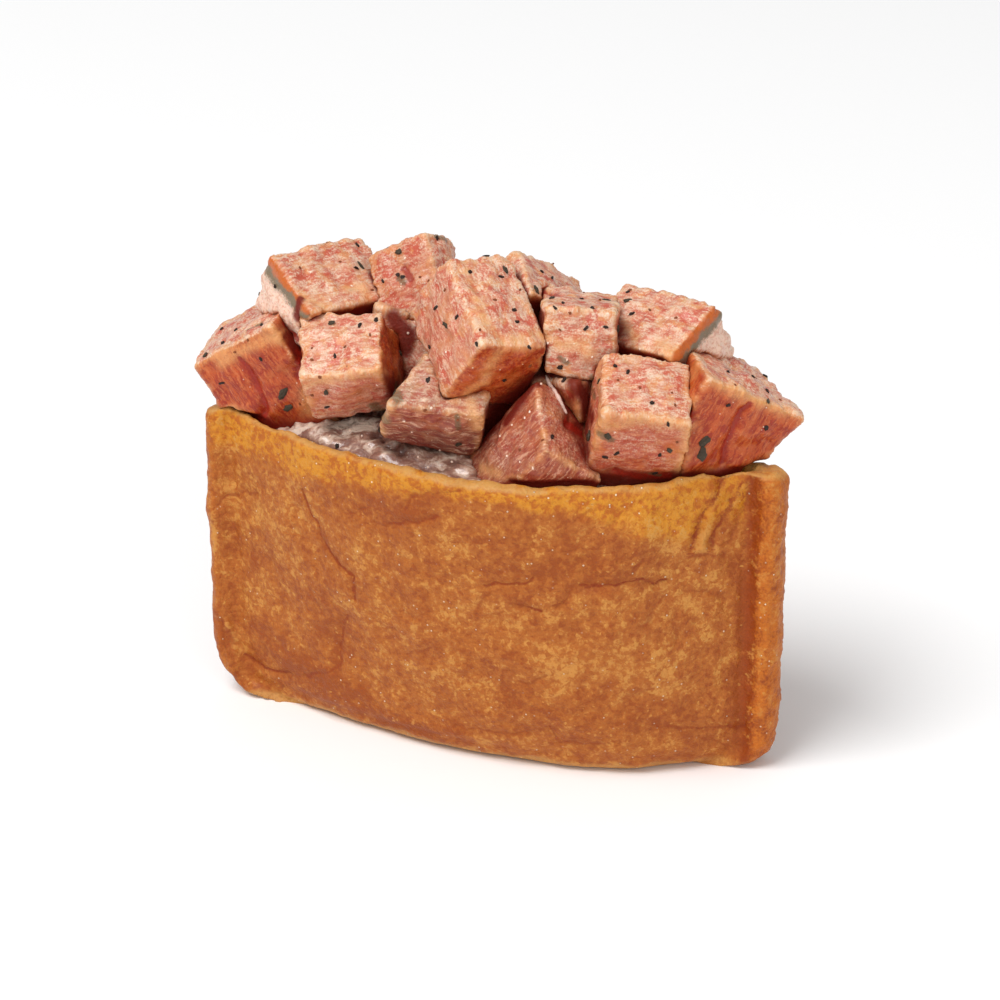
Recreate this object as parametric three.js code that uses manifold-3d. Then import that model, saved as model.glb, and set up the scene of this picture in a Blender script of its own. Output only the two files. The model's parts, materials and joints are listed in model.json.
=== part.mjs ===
// Open inari sushi: a fried tofu pouch stood on its closed edge, filled to the mouth and topped with a
// pile of seasoned raw salmon cubes. Millimetres, +Z up, +X along the pouch, the shown side towards -Y.
import * as THREE from "three";
import { mergeVertices } from "three/addons/utils/BufferGeometryUtils.js";
import { SimplexNoise } from "three/addons/math/SimplexNoise.js";
import Module from "manifold-3d";

const wasm = await Module();
wasm.setup();

const { clamp, degToRad, lerp, seededRandom, smoothstep } = THREE.MathUtils;

// Driving dimensions of the pouch.
const POUCH_LENGTH = 80;
const POUCH_HEIGHT = 42.4;
const MOUTH_HALF_WIDTH = 16.2;
const BASE_HALF_WIDTH = 10.4;
const WALL = 2.6;
const END_WALL = 4.5;
const FLOOR = 3;
const LEFT_CORNER_RADIUS = 8;
const RIGHT_CORNER_RADIUS = 5;
const BASE_EDGE_HEIGHT = 3.4;
const BASE_EDGE_SHARE = 0.84;
const SEAM_SETBACK = 2;
const WALL_WAVE = 0.45;
const MOUTH_WAVE = 0.35;
const LIP_HEIGHT = 1;

// The long sides of the pouch seen from above: where each bulges most, and how full each half is.
const FRONT = { sign: -1, swell: 1, peak: 7, left: [1.8, 2], right: [2.6, 1.6] };
const BACK = { sign: 1, swell: 0.96, peak: -3, left: [2.3, 1.8], right: [2, 1.9] };

// The puffy sealed edge that runs up each end.
const LEFT_SEAM = { reach: 2, thickness: 2.6 };
const RIGHT_SEAM = { reach: 2.3, thickness: 3.3 };

// Soft folds in the front wall, from the mouth down: [x, z] at each end, how far out, how wide.
const FRONT_FOLDS = [
  { from: [27.5, 44], to: [20.5, 30], height: 0.9, width: 2.4 },
  { from: [32, 44], to: [27, 33], height: -0.9, width: 2.2 },
  { from: [-31, 20], to: [-14, 9], height: -0.5, width: 3 },
  { from: [-26, 38], to: [-18, 18], height: -0.55, width: 2.6 },
  { from: [2, 21], to: [31, 27], height: -0.5, width: 2.4 },
  { from: [-38, 6], to: [38, 5], height: -0.35, width: 2 },
];

// Meshing.
const STEPS_AROUND = 64;
const FILLING_STEPS = 42;
const WALL_RINGS = 8;
const INSIDE_SHARES = [0.66, 0.33, 0.03];
const FACE_STEPS = 4;

// Gaps between the cubes and from the wall, and how far out beside the wall no cube hangs down.
const GAP = 0.4;
const WALL_GAP = 0.8;
const BESIDE = 20;

// The filling: how far below the mouth it lies at the wall, left and right, where along x the one turns into
// the other, and how high it is heaped.
const FILLING_DROP_LEFT = 1.2;
const FILLING_DROP_RIGHT = 3;
const FILLING_TURN = [-10, -1];
const FILLING_HEAP = 3.6;
const FILLING_LUMP = 0.9;
const FILLING_PEAK = 0.8;

// Salmon cubes.
const EDGE_ROUNDING = 0.7;
const CORNER_SHIFT = 0.055;
const FACE_WAVE = 0.34;
const SLIVER = 0.05;
const FLAKES_PER_CUBE = 4;
const FLAKE_SIZE = [0.75, 0.5, 0.24];
const FLAKE_STEP = 2.3;

const noise = new SimplexNoise({ random: () => seededRandom() });
seededRandom(11);

/** Soft unevenness of about one unit, with bumps of the given size. */
function waves(x, y, z, bump, shift = 0) {
  return noise.noise3d(x / bump + shift, y / bump - shift, z / bump);
}

/** A closed mesh from rings of points between two end points. Rings run anticlockwise seen from above. */
function closedSkin(first, rings, last) {
  const count = rings[0].length;
  const points = [first, ...rings.flat(), last];
  const end = points.length - 1;
  const at = (ring, step) => 1 + ring * count + (step % count);
  const faces = [];
  for (let step = 0; step < count; step++) {
    faces.push(0, at(0, step + 1), at(0, step));
    for (let ring = 0; ring + 1 < rings.length; ring++) {
      const [a, b] = [at(ring, step), at(ring, step + 1)];
      const [c, d] = [at(ring + 1, step), at(ring + 1, step + 1)];
      faces.push(a, b, c, b, d, c);
    }
    faces.push(end, at(rings.length - 1, step), at(rings.length - 1, step + 1));
  }
  return new THREE.BufferGeometry().setFromPoints(points).setIndex(faces);
}

/** How far the wall stands from the centre line at x, as a share of its widest. */
function fullness(x, z, reach, side) {
  const up = clamp(z / POUCH_HEIGHT, 0, 1);
  const half = x < side.peak ? side.left : side.right;
  const span = x < side.peak ? reach + side.peak : reach - side.peak;
  const share = Math.min(1, Math.abs(x - side.peak) / span);
  return 1 - share ** lerp(half[0], half[1], up);
}

/** The seam's own half thickness at x. */
function seamThickness(x, reach) {
  const seam = x < 0 ? LEFT_SEAM : RIGHT_SEAM;
  const along = (Math.abs(x) - (reach - seam.reach)) / seam.reach;
  return seam.thickness * Math.sqrt(Math.max(0, 1 - along * along));
}

/** Half the pouch's length at a height: its lower corners are round, the left one more so. */
function reachAt(z, left) {
  const radius = left ? LEFT_CORNER_RADIUS : RIGHT_CORNER_RADIUS;
  const up = clamp(z / radius, 0, 1);
  return POUCH_LENGTH / 2 - radius * (1 - Math.sqrt(1 - (1 - up) ** 2));
}

/** The pouch's half width at a height. It rounds under at the foot. */
function halfWidthAt(z) {
  const up = clamp(z / POUCH_HEIGHT, 0, 1) ** 0.8;
  const under = 1 - clamp(z / BASE_EDGE_HEIGHT, 0, 1);
  const foot = lerp(BASE_EDGE_SHARE, 1, Math.sqrt(1 - under * under));
  return foot * lerp(BASE_HALF_WIDTH, MOUTH_HALF_WIDTH, Math.sin((up * Math.PI) / 2));
}

/** How far the folds push the front wall out at a place. */
function folds(x, z) {
  const sum = (total, fold) => {
    const [ax, az] = fold.from;
    const [dx, dz] = [fold.to[0] - ax, fold.to[1] - az];
    const along = clamp(((x - ax) * dx + (z - az) * dz) / (dx * dx + dz * dz), 0, 1);
    const away = Math.hypot(x - ax - along * dx, z - az - along * dz) / fold.width;
    return total + fold.height * Math.exp(-away * away);
  };
  return FRONT_FOLDS.reduce(sum, 0);
}

/** A point on the pouch's outside. */
function outside(angle, z) {
  const side = Math.sin(angle) < 0 ? FRONT : BACK;
  const reach = reachAt(z, Math.cos(angle) < 0);
  const x = reach * Math.cos(angle);
  const swell = side.swell * halfWidthAt(z);
  const panel = swell * Math.max(0, fullness(x, z, reach - SEAM_SETBACK, side));
  const body = (panel ** 4 + seamThickness(x, reach) ** 4) ** 0.25;
  const uneven = WALL_WAVE * waves(x, Math.sin(angle) * 20, z, 13) + (side === FRONT ? folds(x, z) : 0);
  const calm = Math.min(1, body / 4);
  return new THREE.Vector3(x, side.sign * (body + uneven * calm), z);
}

/** A point on the pouch's inside, or on what fills it, a little further in. */
function inside(angle, z, clearance = 0) {
  const side = Math.sin(angle) < 0 ? FRONT : BACK;
  const reach = reachAt(z, Math.cos(angle) < 0) - END_WALL - clearance * 2;
  const x = reach * Math.cos(angle);
  const width = side.swell * halfWidthAt(z) - WALL - clearance;
  return new THREE.Vector3(x, side.sign * width * Math.max(0, fullness(x, z, reach, side)), z);
}

/** The mouth's height, which waves a little. */
function mouthHeight(angle) {
  const [x, y] = [(POUCH_LENGTH / 2) * Math.cos(angle), 9 * Math.sin(angle)];
  return POUCH_HEIGHT + MOUTH_WAVE * waves(x, y, 0, 9, 4);
}

/** Angles round the pouch, one for each column of its mesh. */
function anglesAround(count) {
  return Array.from({ length: count }, (_, step) => ((step + 0.5) / count) * 2 * Math.PI);
}

/** The height that is a share of the way from the foot of the wall to just under the mouth. */
function wallHeight(angle, share) {
  return lerp(BASE_EDGE_HEIGHT, mouthHeight(angle) - LIP_HEIGHT, share);
}

/**
 * The pouch: outside from the foot up, over the lip, and down inside. It can be made a little thicker at the
 * sides and lip, and its outside can be moved out, to stand for the space beside the pouch as well.
 */
function pouchGeometry(extra = 0, outward = 0) {
  const angles = anglesAround(STEPS_AROUND);
  const skin = (angle, z) => {
    const point = outside(angle, z);
    return point.setY(point.y + (extra + outward) * Math.sign(point.y));
  };
  const rings = [];
  rings.push(angles.map((angle) => skin(angle, 0).multiplyScalar(0.5)));
  for (const z of [0, 0.25 * BASE_EDGE_HEIGHT, 0.6 * BASE_EDGE_HEIGHT]) {
    rings.push(angles.map((angle) => skin(angle, z)));
  }
  for (let ring = 0; ring <= WALL_RINGS; ring++) {
    rings.push(angles.map((angle) => skin(angle, wallHeight(angle, ring / WALL_RINGS))));
  }
  for (const [share, drop] of [[0.12, 0.3], [0.38, 0], [0.75, 0.05], [1, 0.9]]) {
    rings.push(angles.map((angle) => {
      const z = wallHeight(angle, 1);
      return skin(angle, z).lerp(inside(angle, z, extra), share).setZ(z + LIP_HEIGHT - drop + extra);
    }));
  }
  for (const share of INSIDE_SHARES) {
    rings.push(angles.map((angle) => inside(angle, wallHeight(angle, share), extra)));
  }
  rings.push(angles.map((angle) => inside(angle, BASE_EDGE_HEIGHT).multiplyScalar(0.6).setZ(FLOOR)));
  return closedSkin(new THREE.Vector3(0, 0, 0), rings, new THREE.Vector3(0, 0, FLOOR));
}

/** The dressed filling: level with the mouth at the wall and heaped towards the middle, with lumps. */
function fillingGeometry() {
  const angles = anglesAround(FILLING_STEPS);
  const low = (angle) => inside(angle, FLOOR + 0.6, WALL_GAP).multiplyScalar(0.55).setZ(FLOOR + GAP);
  const rings = [angles.map(low)];
  for (const share of INSIDE_SHARES.toReversed()) {
    rings.push(angles.map((angle) => inside(angle, wallHeight(angle, share), WALL_GAP)));
  }
  for (const share of [0.98, 0.8, 0.6, 0.38, 0.18]) {
    rings.push(angles.map((angle) => {
      const point = inside(angle, POUCH_HEIGHT, WALL_GAP).multiplyScalar(share);
      const heap = FILLING_HEAP * (1 - share ** 2) + FILLING_LUMP * waves(point.x, point.y, 0, 4.5, 2);
      const drop = lerp(FILLING_DROP_LEFT, FILLING_DROP_RIGHT, smoothstep(point.x, ...FILLING_TURN));
      return point.setZ(POUCH_HEIGHT - drop + heap);
    }));
  }
  const peak = new THREE.Vector3(0, 0, POUCH_HEIGHT + FILLING_PEAK);
  return closedSkin(new THREE.Vector3(0, 0, FLOOR + GAP), rings, peak);
}

// The salmon cubes, in the order in which they keep their shape: a later cube is cut to fit an earlier one.
// at: the cube's centre. size: its sides. turn: degrees about x, y and z.
// pulls: edges along the cube's own z, given by the signs of x and y there, and how far each is pulled.
const CUBES = [
  { name: "salmon_crown", at: [-0.8, -3, 58.5], size: [10.3, 15.2, 12.3], turn: [14, 30, 40] },
  { name: "salmon_front_left", at: [-18.1, -3.5, 52], size: [11.2, 10.4, 9.8], turn: [36, -3, 11] },
  { name: "salmon_front_right", at: [21, -4.1, 48.2], size: [11.6, 11, 14], turn: [24, 15, 17] },
  {
    name: "salmon_left_end", at: [-30.4, 4.2, 46.7], size: [15, 14, 16], turn: [9, -33, 0],
    pulls: [{ corner: [-1, 1], by: [-2.2, 0, 0] }],
  },
  { name: "salmon_right_end", at: [28.2, 3.2, 47.2], size: [14.4, 13.4, 15], turn: [-13, 31, 41] },
  {
    name: "salmon_front_middle", at: [8.2, -6.4, 41.5], size: [9, 12.8, 14.8], turn: [5, 39, 26],
    pulls: [{ corner: [-1, 1], by: [-2.6, -3.6, 2.2] }],
  },
  {
    name: "salmon_dressed", at: [-5, -7, 49.3], size: [12.8, 9, 9.4], turn: [29, 16, 10],
    pulls: [{ corner: [-1, 1], by: [3, 0, 0] }],
  },
  { name: "salmon_upper_left", at: [-24.3, 6.2, 57], size: [10.4, 15.2, 8.6], turn: [12, 24, -36] },
  { name: "salmon_upper_right", at: [20.4, 7, 55.2], size: [15.6, 10.6, 9], turn: [23, -13, -20] },
  { name: "salmon_peppered", at: [11.6, 1.5, 57.5], size: [9.4, 11.6, 8.8], turn: [-6, 2, 16] },
  { name: "salmon_top_back", at: [-12.6, 8.2, 59.3], size: [10, 6.4, 11], turn: [-39, -20, -19] },
  { name: "salmon_back_wedge", at: [3.3, 8.7, 57.3], size: [9.8, 9.2, 14.2], turn: [53, -26, 37] },
  { name: "salmon_inner_right", at: [11.5, 0, 49.2], size: [8.6, 8.6, 10.2], turn: [8, -12, -20] },
  { name: "salmon_inner_middle", at: [0.5, 2, 46.5], size: [8, 8, 8], turn: [15, 10, 30] },
  { name: "salmon_back_left", at: [-25, 7, 48], size: [12, 10, 10], turn: [10, -8, 25] },
  { name: "salmon_back_left_middle", at: [-12, 6.5, 50], size: [13, 11, 12], turn: [-12, 10, 10] },
  { name: "salmon_back_middle", at: [1.5, 9.5, 48], size: [12, 11, 10], turn: [18, 6, -15] },
  { name: "salmon_back_right_middle", at: [14.5, 9, 48], size: [12, 10, 10], turn: [-8, -10, 20] },
  { name: "salmon_back_right", at: [26, 6.5, 47.5], size: [11, 9, 10], turn: [12, 8, -30] },
];

/** A cube of fish as a knife leaves it: soft edges, corners a little off, faces not quite flat. */
function cubeGeometry(cube, seed, grow = 0) {
  const box = new THREE.BoxGeometry(2, 2, 2, FACE_STEPS, FACE_STEPS, FACE_STEPS);
  box.deleteAttribute("normal");
  box.deleteAttribute("uv");
  const geometry = mergeVertices(box, 1e-4);
  seededRandom(seed);
  const shifts = Array.from({ length: 24 }, () => (seededRandom() * 2 - 1) * CORNER_SHIFT);
  const half = new THREE.Vector3(...cube.size).multiplyScalar(0.5).addScalar(grow);
  const core = half.clone().subScalar(EDGE_ROUNDING);
  const position = geometry.getAttribute("position");
  const point = new THREE.Vector3();
  for (let index = 0; index < position.count; index++) {
    point.fromBufferAttribute(position, index);
    const corner = point.clone();
    for (const axis of ["x", "y", "z"]) {
      const line = Math.abs(point[axis]);
      const place = line > 0.9 ? half[axis] : line > 0.5 ? core[axis] : core[axis] / 3;
      point[axis] = Math.sign(point[axis]) * place;
    }
    const kept = point.clone().clamp(core.clone().negate(), core);
    const out = point.clone().sub(kept).setLength(EDGE_ROUNDING);
    point.copy(kept).add(out);
    const shift = new THREE.Vector3();
    for (let number = 0; number < 8; number++) {
      const sign = [number & 1, number & 2, number & 4].map((bit) => (bit ? 1 : -1));
      const weight = (1 + sign[0] * corner.x) * (1 + sign[1] * corner.y) * (1 + sign[2] * corner.z) / 8;
      shift.x += weight * shifts[number * 3] * cube.size[0];
      shift.y += weight * shifts[number * 3 + 1] * cube.size[1];
      shift.z += weight * shifts[number * 3 + 2] * cube.size[2];
    }
    for (const { corner: [alongX, alongY], by } of cube.pulls ?? []) {
      const weight = (1 + alongX * corner.x) * (1 + alongY * corner.y) / 4;
      shift.addScaledVector(new THREE.Vector3(...by), weight);
    }
    const wave = FACE_WAVE * waves(point.x, point.y, point.z, 5, seed);
    point.add(shift).addScaledVector(out.normalize(), wave);
    position.setXYZ(index, point.x, point.y, point.z);
  }
  return geometry;
}

/** Where a cube stands in the pile. */
function placeOf(cube) {
  const turn = new THREE.Euler(...cube.turn.map(degToRad));
  return new THREE.Matrix4().makeRotationFromEuler(turn).setPosition(...cube.at);
}

function solidOf(geometry) {
  const merged = mergeVertices(geometry, 1e-4);
  const vertProperties = merged.getAttribute("position").array;
  const triVerts = new Uint32Array(merged.index.array);
  return new wasm.Manifold(new wasm.Mesh({ numProp: 3, vertProperties, triVerts }));
}

function geometryOf(solid) {
  const mesh = solid.getMesh();
  const positions = new THREE.BufferAttribute(new Float32Array(mesh.vertProperties), 3);
  const indices = new THREE.BufferAttribute(new Uint32Array(mesh.triVerts), 1);
  return new THREE.BufferGeometry().setAttribute("position", positions).setIndex(indices);
}

/** Flakes of pepper and herb that stick to a cube, spread evenly round it. */
function flakesOn(geometry, seed) {
  const target = new THREE.Mesh(geometry, new THREE.MeshBasicMaterial({ side: THREE.DoubleSide }));
  const ray = new THREE.Raycaster();
  const flakes = [];
  for (let number = 0; number < FLAKES_PER_CUBE; number++) {
    const height = 1 - (2 * number + 1) / FLAKES_PER_CUBE;
    const angle = number * FLAKE_STEP + seed;
    const flat = Math.sqrt(1 - height * height);
    const direction = new THREE.Vector3(flat * Math.cos(angle), flat * Math.sin(angle), height);
    ray.set(new THREE.Vector3(), direction);
    const [hit] = ray.intersectObject(target);
    const flake = new THREE.OctahedronGeometry(1, 0).scale(...FLAKE_SIZE);
    flake.deleteAttribute("normal");
    flake.deleteAttribute("uv");
    flake.rotateZ(angle);
    const facing = new THREE.Quaternion().setFromUnitVectors(new THREE.Vector3(0, 0, 1), hit.face.normal);
    flake.applyQuaternion(facing).translate(hit.point.x, hit.point.y, hit.point.z);
    flakes.push(solidOf(flake));
  }
  return flakes;
}

/** The largest of the bodies that a cut leaves. */
function largest(solid) {
  return solid.decompose().sort((a, b) => b.volume() - a.volume())[0];
}

/** A food's finish: its colour and how matt it is. */
function finishOf(color, roughness) {
  return new THREE.MeshStandardMaterial({ color, roughness, metalness: 0 });
}

const tofuSkin = finishOf(0xbb6f35, 0.5);
const salmonFlesh = finishOf(0xd49580, 0.35);
const dressing = finishOf(0xa48478, 0.3);

function named(name, geometry, finish) {
  const mesh = new THREE.Mesh(geometry, finish);
  mesh.name = name;
  return mesh;
}

function build() {
  const sushi = new THREE.Group();
  sushi.add(named("tofu_pouch", pouchGeometry(), tofuSkin));
  const pouchRoom = solidOf(pouchGeometry(WALL_GAP)).add(solidOf(pouchGeometry(WALL_GAP, BESIDE)));

  const rooms = [];
  CUBES.forEach((cube, index) => {
    const seed = index + 1;
    const place = placeOf(cube);
    const plain = cubeGeometry(cube, seed);
    let solid = solidOf(plain);
    for (const flake of flakesOn(plain, seed)) {
      solid = solid.add(flake);
    }
    solid = solid.transform(place.elements).subtract(pouchRoom);
    for (const room of rooms) {
      solid = solid.subtract(room);
    }
    sushi.add(named(cube.name, geometryOf(largest(solid).simplify(SLIVER)), salmonFlesh));
    rooms.push(solidOf(cubeGeometry(cube, seed, GAP).applyMatrix4(place)));
  });

  let filling = solidOf(fillingGeometry());
  for (const room of rooms) {
    filling = filling.subtract(room);
  }
  sushi.add(named("filling", geometryOf(largest(filling).simplify(SLIVER)), dressing));

  const bounds = new THREE.Box3().setFromObject(sushi);
  const centre = bounds.getCenter(new THREE.Vector3());
  sushi.position.set(-centre.x, -centre.y, -bounds.min.z);
  return sushi;
}

export default build();
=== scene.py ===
"""Open inari sushi: a simmered fried tofu pouch heaped with peppered salmon cubes."""
import json
import math

import bmesh
import bpy
import numpy as np
from bpy.props import FloatProperty, FloatVectorProperty, IntProperty, PointerProperty
from mathutils import Euler, Matrix, Vector
from mathutils.bvhtree import BVHTree

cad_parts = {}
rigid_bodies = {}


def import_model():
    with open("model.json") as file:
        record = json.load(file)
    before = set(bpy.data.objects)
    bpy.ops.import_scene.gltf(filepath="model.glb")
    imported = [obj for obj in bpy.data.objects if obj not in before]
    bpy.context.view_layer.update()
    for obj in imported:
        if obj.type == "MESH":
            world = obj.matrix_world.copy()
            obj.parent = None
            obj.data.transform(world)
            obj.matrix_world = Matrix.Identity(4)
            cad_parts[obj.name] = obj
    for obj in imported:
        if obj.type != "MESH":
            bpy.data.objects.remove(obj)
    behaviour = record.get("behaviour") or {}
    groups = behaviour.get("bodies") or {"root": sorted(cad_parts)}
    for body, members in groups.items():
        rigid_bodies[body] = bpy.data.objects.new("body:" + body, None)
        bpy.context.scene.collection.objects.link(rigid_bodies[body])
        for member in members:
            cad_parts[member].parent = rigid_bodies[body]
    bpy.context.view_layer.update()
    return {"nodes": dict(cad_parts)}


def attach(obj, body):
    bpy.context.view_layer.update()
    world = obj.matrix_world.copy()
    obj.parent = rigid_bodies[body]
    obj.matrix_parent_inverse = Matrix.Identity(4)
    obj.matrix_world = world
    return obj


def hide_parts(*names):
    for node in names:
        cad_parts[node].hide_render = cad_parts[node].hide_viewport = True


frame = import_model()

bl_info = {
    "name": "Inari Sushi",
    "version": (1, 0, 0),
    "blender": (4, 5, 0),
    "location": "3D View > Sidebar > Inari",
    "description": "Builds a fried tofu pouch heaped with peppered salmon cubes",
    "category": "Object",
}

MM = 0.001

# Where the middle of the pouch stands in the frame, in mm.
POUCH_MIDDLE = np.array([0.34, -0.64, 0.0])

# The salmon cubes as they lie in the heap, in mm from the middle of the pouch, and how each is turned.
# grain: the cube's own axis that its fibres follow.
# faces: how red a face is, from 0, pale, to 1, orange red, where it differs from others that look its way.
# This is
# painted light and shade: pale where the light falls, orange red where the face is in shade.
# mauve: how far the grey purple dressing covers the cube.
# skin_side: the face with the layers of the skin side. skin_depth: how far above the middle they start.
CUBES = {
    "salmon_crown": {"at": (-0.8, -3, 58.5), "turn": (14, 30, 40), "grain": 1,
                     "faces": {"-x": 0.42, "-y": 0.95, "+z": 0.12}},
    "salmon_front_left": {"at": (-18.1, -3.5, 52), "turn": (36, -3, 11), "grain": 0,
                          "faces": {"+z": 0.3, "-y": 0.52, "+x": 0.8}},
    "salmon_front_right": {"at": (21, -4.1, 48.2), "turn": (24, 15, 17), "grain": 0,
                           "faces": {"+z": 0.28, "-y": 0.6, "-x": 0.55}},
    "salmon_left_end": {"at": (-30.4, 4.2, 46.7), "turn": (9, -33, 0), "grain": 2,
                        "faces": {"+z": 0.08, "-y": 0.95, "+x": 1.0}},
    "salmon_right_end": {"at": (28.2, 3.2, 47.2), "turn": (-13, 31, 41), "grain": 2,
                         "faces": {"+z": 0.08, "-y": 0.95, "-x": 1.0}},
    "salmon_front_middle": {"at": (8.2, -6.4, 41.5), "turn": (5, 39, 26), "grain": 2,
                            "faces": {"-x": 0.62, "-y": 1.0, "+z": 0.6}, "mauve": 0.45},
    "salmon_dressed": {"at": (-5, -7, 49.3), "turn": (29, 16, 10), "grain": 0, "mauve": 0.85},
    "salmon_upper_left": {"at": (-24.3, 6.2, 57), "turn": (12, 24, -36), "grain": 1, "faces": {"+z": 0.08},
                          "skin_side": "-y", "skin_depth": 4.3},
    "salmon_upper_right": {"at": (20.4, 7, 55.2), "turn": (23, -13, -20), "grain": 0, "faces": {"+z": 0.1},
                           "skin_side": "+x", "skin_depth": 4.3},
    "salmon_peppered": {"at": (11.6, 1.5, 57.5), "turn": (-6, 2, 16), "grain": 0,
                        "faces": {"+z": 0.05, "-y": 0.3}, "mauve": 0.12},
    "salmon_top_back": {"at": (-12.6, 8.2, 59.3), "turn": (-39, -20, -19), "grain": 0, "faces": {"-y": 0.45}},
    "salmon_back_wedge": {"at": (3.3, 8.7, 57.3), "turn": (53, -26, 37), "grain": 2, "faces": {"-y": 0.85}},
    "salmon_inner_right": {"at": (11.5, 0, 49.2), "turn": (8, -12, -20), "grain": 2, "mauve": 0.3},
    "salmon_inner_middle": {"at": (0.5, 2, 46.5), "turn": (15, 10, 30), "grain": 0, "mauve": 0.3},
    "salmon_back_left": {"at": (-25, 7, 48), "turn": (10, -8, 25), "grain": 0},
    "salmon_back_left_middle": {"at": (-12, 6.5, 50), "turn": (-12, 10, 10), "grain": 1},
    "salmon_back_middle": {"at": (1.5, 9.5, 48), "turn": (18, 6, -15), "grain": 0},
    "salmon_back_right_middle": {"at": (14.5, 9, 48), "turn": (-8, -10, 20), "grain": 1},
    "salmon_back_right": {"at": (26, 6.5, 47.5), "turn": (12, 8, -30), "grain": 0},
}
AXES = {
    "+x": (1, 0, 0), "-x": (-1, 0, 0), "+y": (0, 1, 0),
    "-y": (0, -1, 0), "+z": (0, 0, 1), "-z": (0, 0, -1),
}

# Cracks and fold lines in the front wall, and turned half round in the back wall too: how strong, then the
# way they run as (x, z), in mm.
CRACKS = (
    (0.9, ((-23.3, 35), (-22.9, 33.3), (-21.3, 31), (-20.3, 28.2), (-17.8, 26), (-15.6, 25), (-15.3, 21.2))),
    (0.7, ((-17.4, 18.2), (-18.5, 14.2), (-18.7, 9.7), (-22, 7.7), (-24.6, 6.2))),
    (0.8, ((-9.5, 34.4), (-5, 35.9), (-2.4, 37))),
    (0.6, ((-7.2, 37), (-5.7, 39.5), (-1.9, 40.4), (1, 41.5))),
    (0.4, ((-16.3, 33.9), (-11.5, 36.2))),
    (0.8, ((3.9, 28), (8.8, 29), (10.6, 30))),
    (1.0, ((16.6, 29.1), (21.2, 29), (23.3, 29.8), (25.3, 28.8), (26.3, 29))),
    (0.7, ((15.4, 28.7), (14.5, 27.2), (12.9, 26))),
    (0.5, ((24.2, 22.9), (25.3, 25.5), (26.3, 26.8))),
    (0.5, ((27.6, 24.2), (28, 19.8))),
    (0.5, ((8.2, 14), (9.7, 13.9), (11.8, 16))),
    (0.5, ((-8, 14.8), (-6, 16), (-4.2, 17))),
    (0.5, ((2.4, 24), (3.6, 26), (4.5, 27))),
    (0.5, ((-1.4, 5), (3.7, 5.3), (9.2, 5.7))),
    (0.6, ((12, 7), (13.3, 4.7), (18.5, 5))),
    (0.7, ((-38.5, 28), (-37.2, 29.5), (-34.6, 30.7), (-31.7, 32))),
    (0.9, ((-35, 6), (-32.1, 4.9), (-27.2, 5.6))),
    (1.0, ((8.1, 25.8), (11.4, 25.4))),
    (0.9, ((12.9, 26.1), (14.2, 26.6))),
    (0.6, ((22.9, 30.9), (24, 32.4))),
    (0.3, ((8.6, 39.7), (10.8, 36.8))),
    (0.4, ((14.7, 37.4), (16.3, 39.2), (17.7, 39.6))),
    (0.3, ((20.1, 37.6), (20.9, 39.3))),
    (0.5, ((28.7, 27.3), (31.5, 26.3), (33.2, 25.2))),
    (0.6, ((25.4, 7.8), (28.4, 7), (32.5, 6.5), (36, 6))),
    (0.4, ((30.8, 5), (35.5, 2.4))),
    (0.4, ((-10, 33), (-9, 31))),
    (0.4, ((-25.5, 29.5), (-24.2, 28.6))),
    (0.4, ((-23, 20.6), (-21.3, 18))),
    (0.3, ((-11.6, 18.7), (-9.3, 18.3))),
    (0.3, ((-8.7, 21.5), (-6.1, 21.3), (-3.9, 23))),
    (0.3, ((-0.7, 14.1), (4.3, 14.6))),
    (0.3, ((21.2, 12.2), (24.9, 13.5))),
    (0.3, ((-29.5, 24), (-28.7, 20.8))),
    (1.0, ((32.7, 43.1), (31.7, 40.2), (30.4, 37.7), (29.1, 33.1))),
    (0.9, ((35, 41.6), (33.9, 39), (32.6, 36.6), (31.3, 33.3))),
    (0.5, ((31.9, 42.8), (31.3, 40.9), (30.7, 39))),
    (0.5, ((35.8, 41.8), (35.4, 39), (34.4, 36.2), (33.4, 32.9))),
    (0.6, ((29.1, 32), (30.8, 31.9), (33.1, 31.4))),
    (0.5, ((-37.7, 11.2), (-36.8, 8.7), (-36.6, 6.1))),
)

# Broad marks on both walls in the same way: painted shade along the fold grooves, painted highlights on the
# raised pleats beside them, and other lighter and darker marks. Each gives how light, from -1, dark, to 1,
# pale, how wide, and the way they run, in mm.
SHADES = (
    (0.8, 0.7, ((31.6, 39.9), (30.9, 36.2), (30.2, 33))),
    (0.8, 0.6, ((34.7, 41.2), (34.1, 39.3), (33.1, 37.3))),
    (0.5, 3, ((23.3, 37.4), (27.3, 35.4))),
    (-0.7, 2.6, ((-27, 6.8), (-18.8, 5.1), (-6.7, 3))),
    (-0.4, 2.6, ((-30, 10.5), (-20, 9))),
    (-1, 0.9, ((34.5, 30.5), (35.6, 24.7), (35.5, 18.8))),
    (-0.6, 1.2, ((34.8, 15), (34.6, 5))),
    (0.7, 0.5, ((-38.3, 28), (-38.6, 24.9), (-38.6, 22.2))),
    (0.6, 0.5, ((-37.1, 41), (-37.5, 36.9))),
    (-0.9, 1.1, ((-38.7, 11), (-38, 8.5))),
    (0.7, 0.4, ((-37.5, 11.4), (-36.6, 8.9), (-36.3, 6.3))),
    (0.35, 3, ((-29, 29), (-26, 31))),
    (0.3, 4, ((0, 22), (4, 25))),
    (0.3, 4, ((14, 18), (26, 16))),
    (-0.4, 4, ((8, 33), (24, 32))),
    (-0.4, 2.5, ((-12, 36), (-2, 37.5))),
    (-0.35, 5, ((4, 9), (24, 8))),
    (-0.35, 4, ((-20, 17), (-17, 13))),
)

# How far the yellower band reaches down from the mouth at each x, in mm.
MOUTH_BAND = (
    (-40, 5), (-25, 5.6), (-16, 4.6), (-6, 3), (5, 2.2), (13, 3), (19, 4.6), (24, 7), (29, 9), (33, 7),
)

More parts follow.
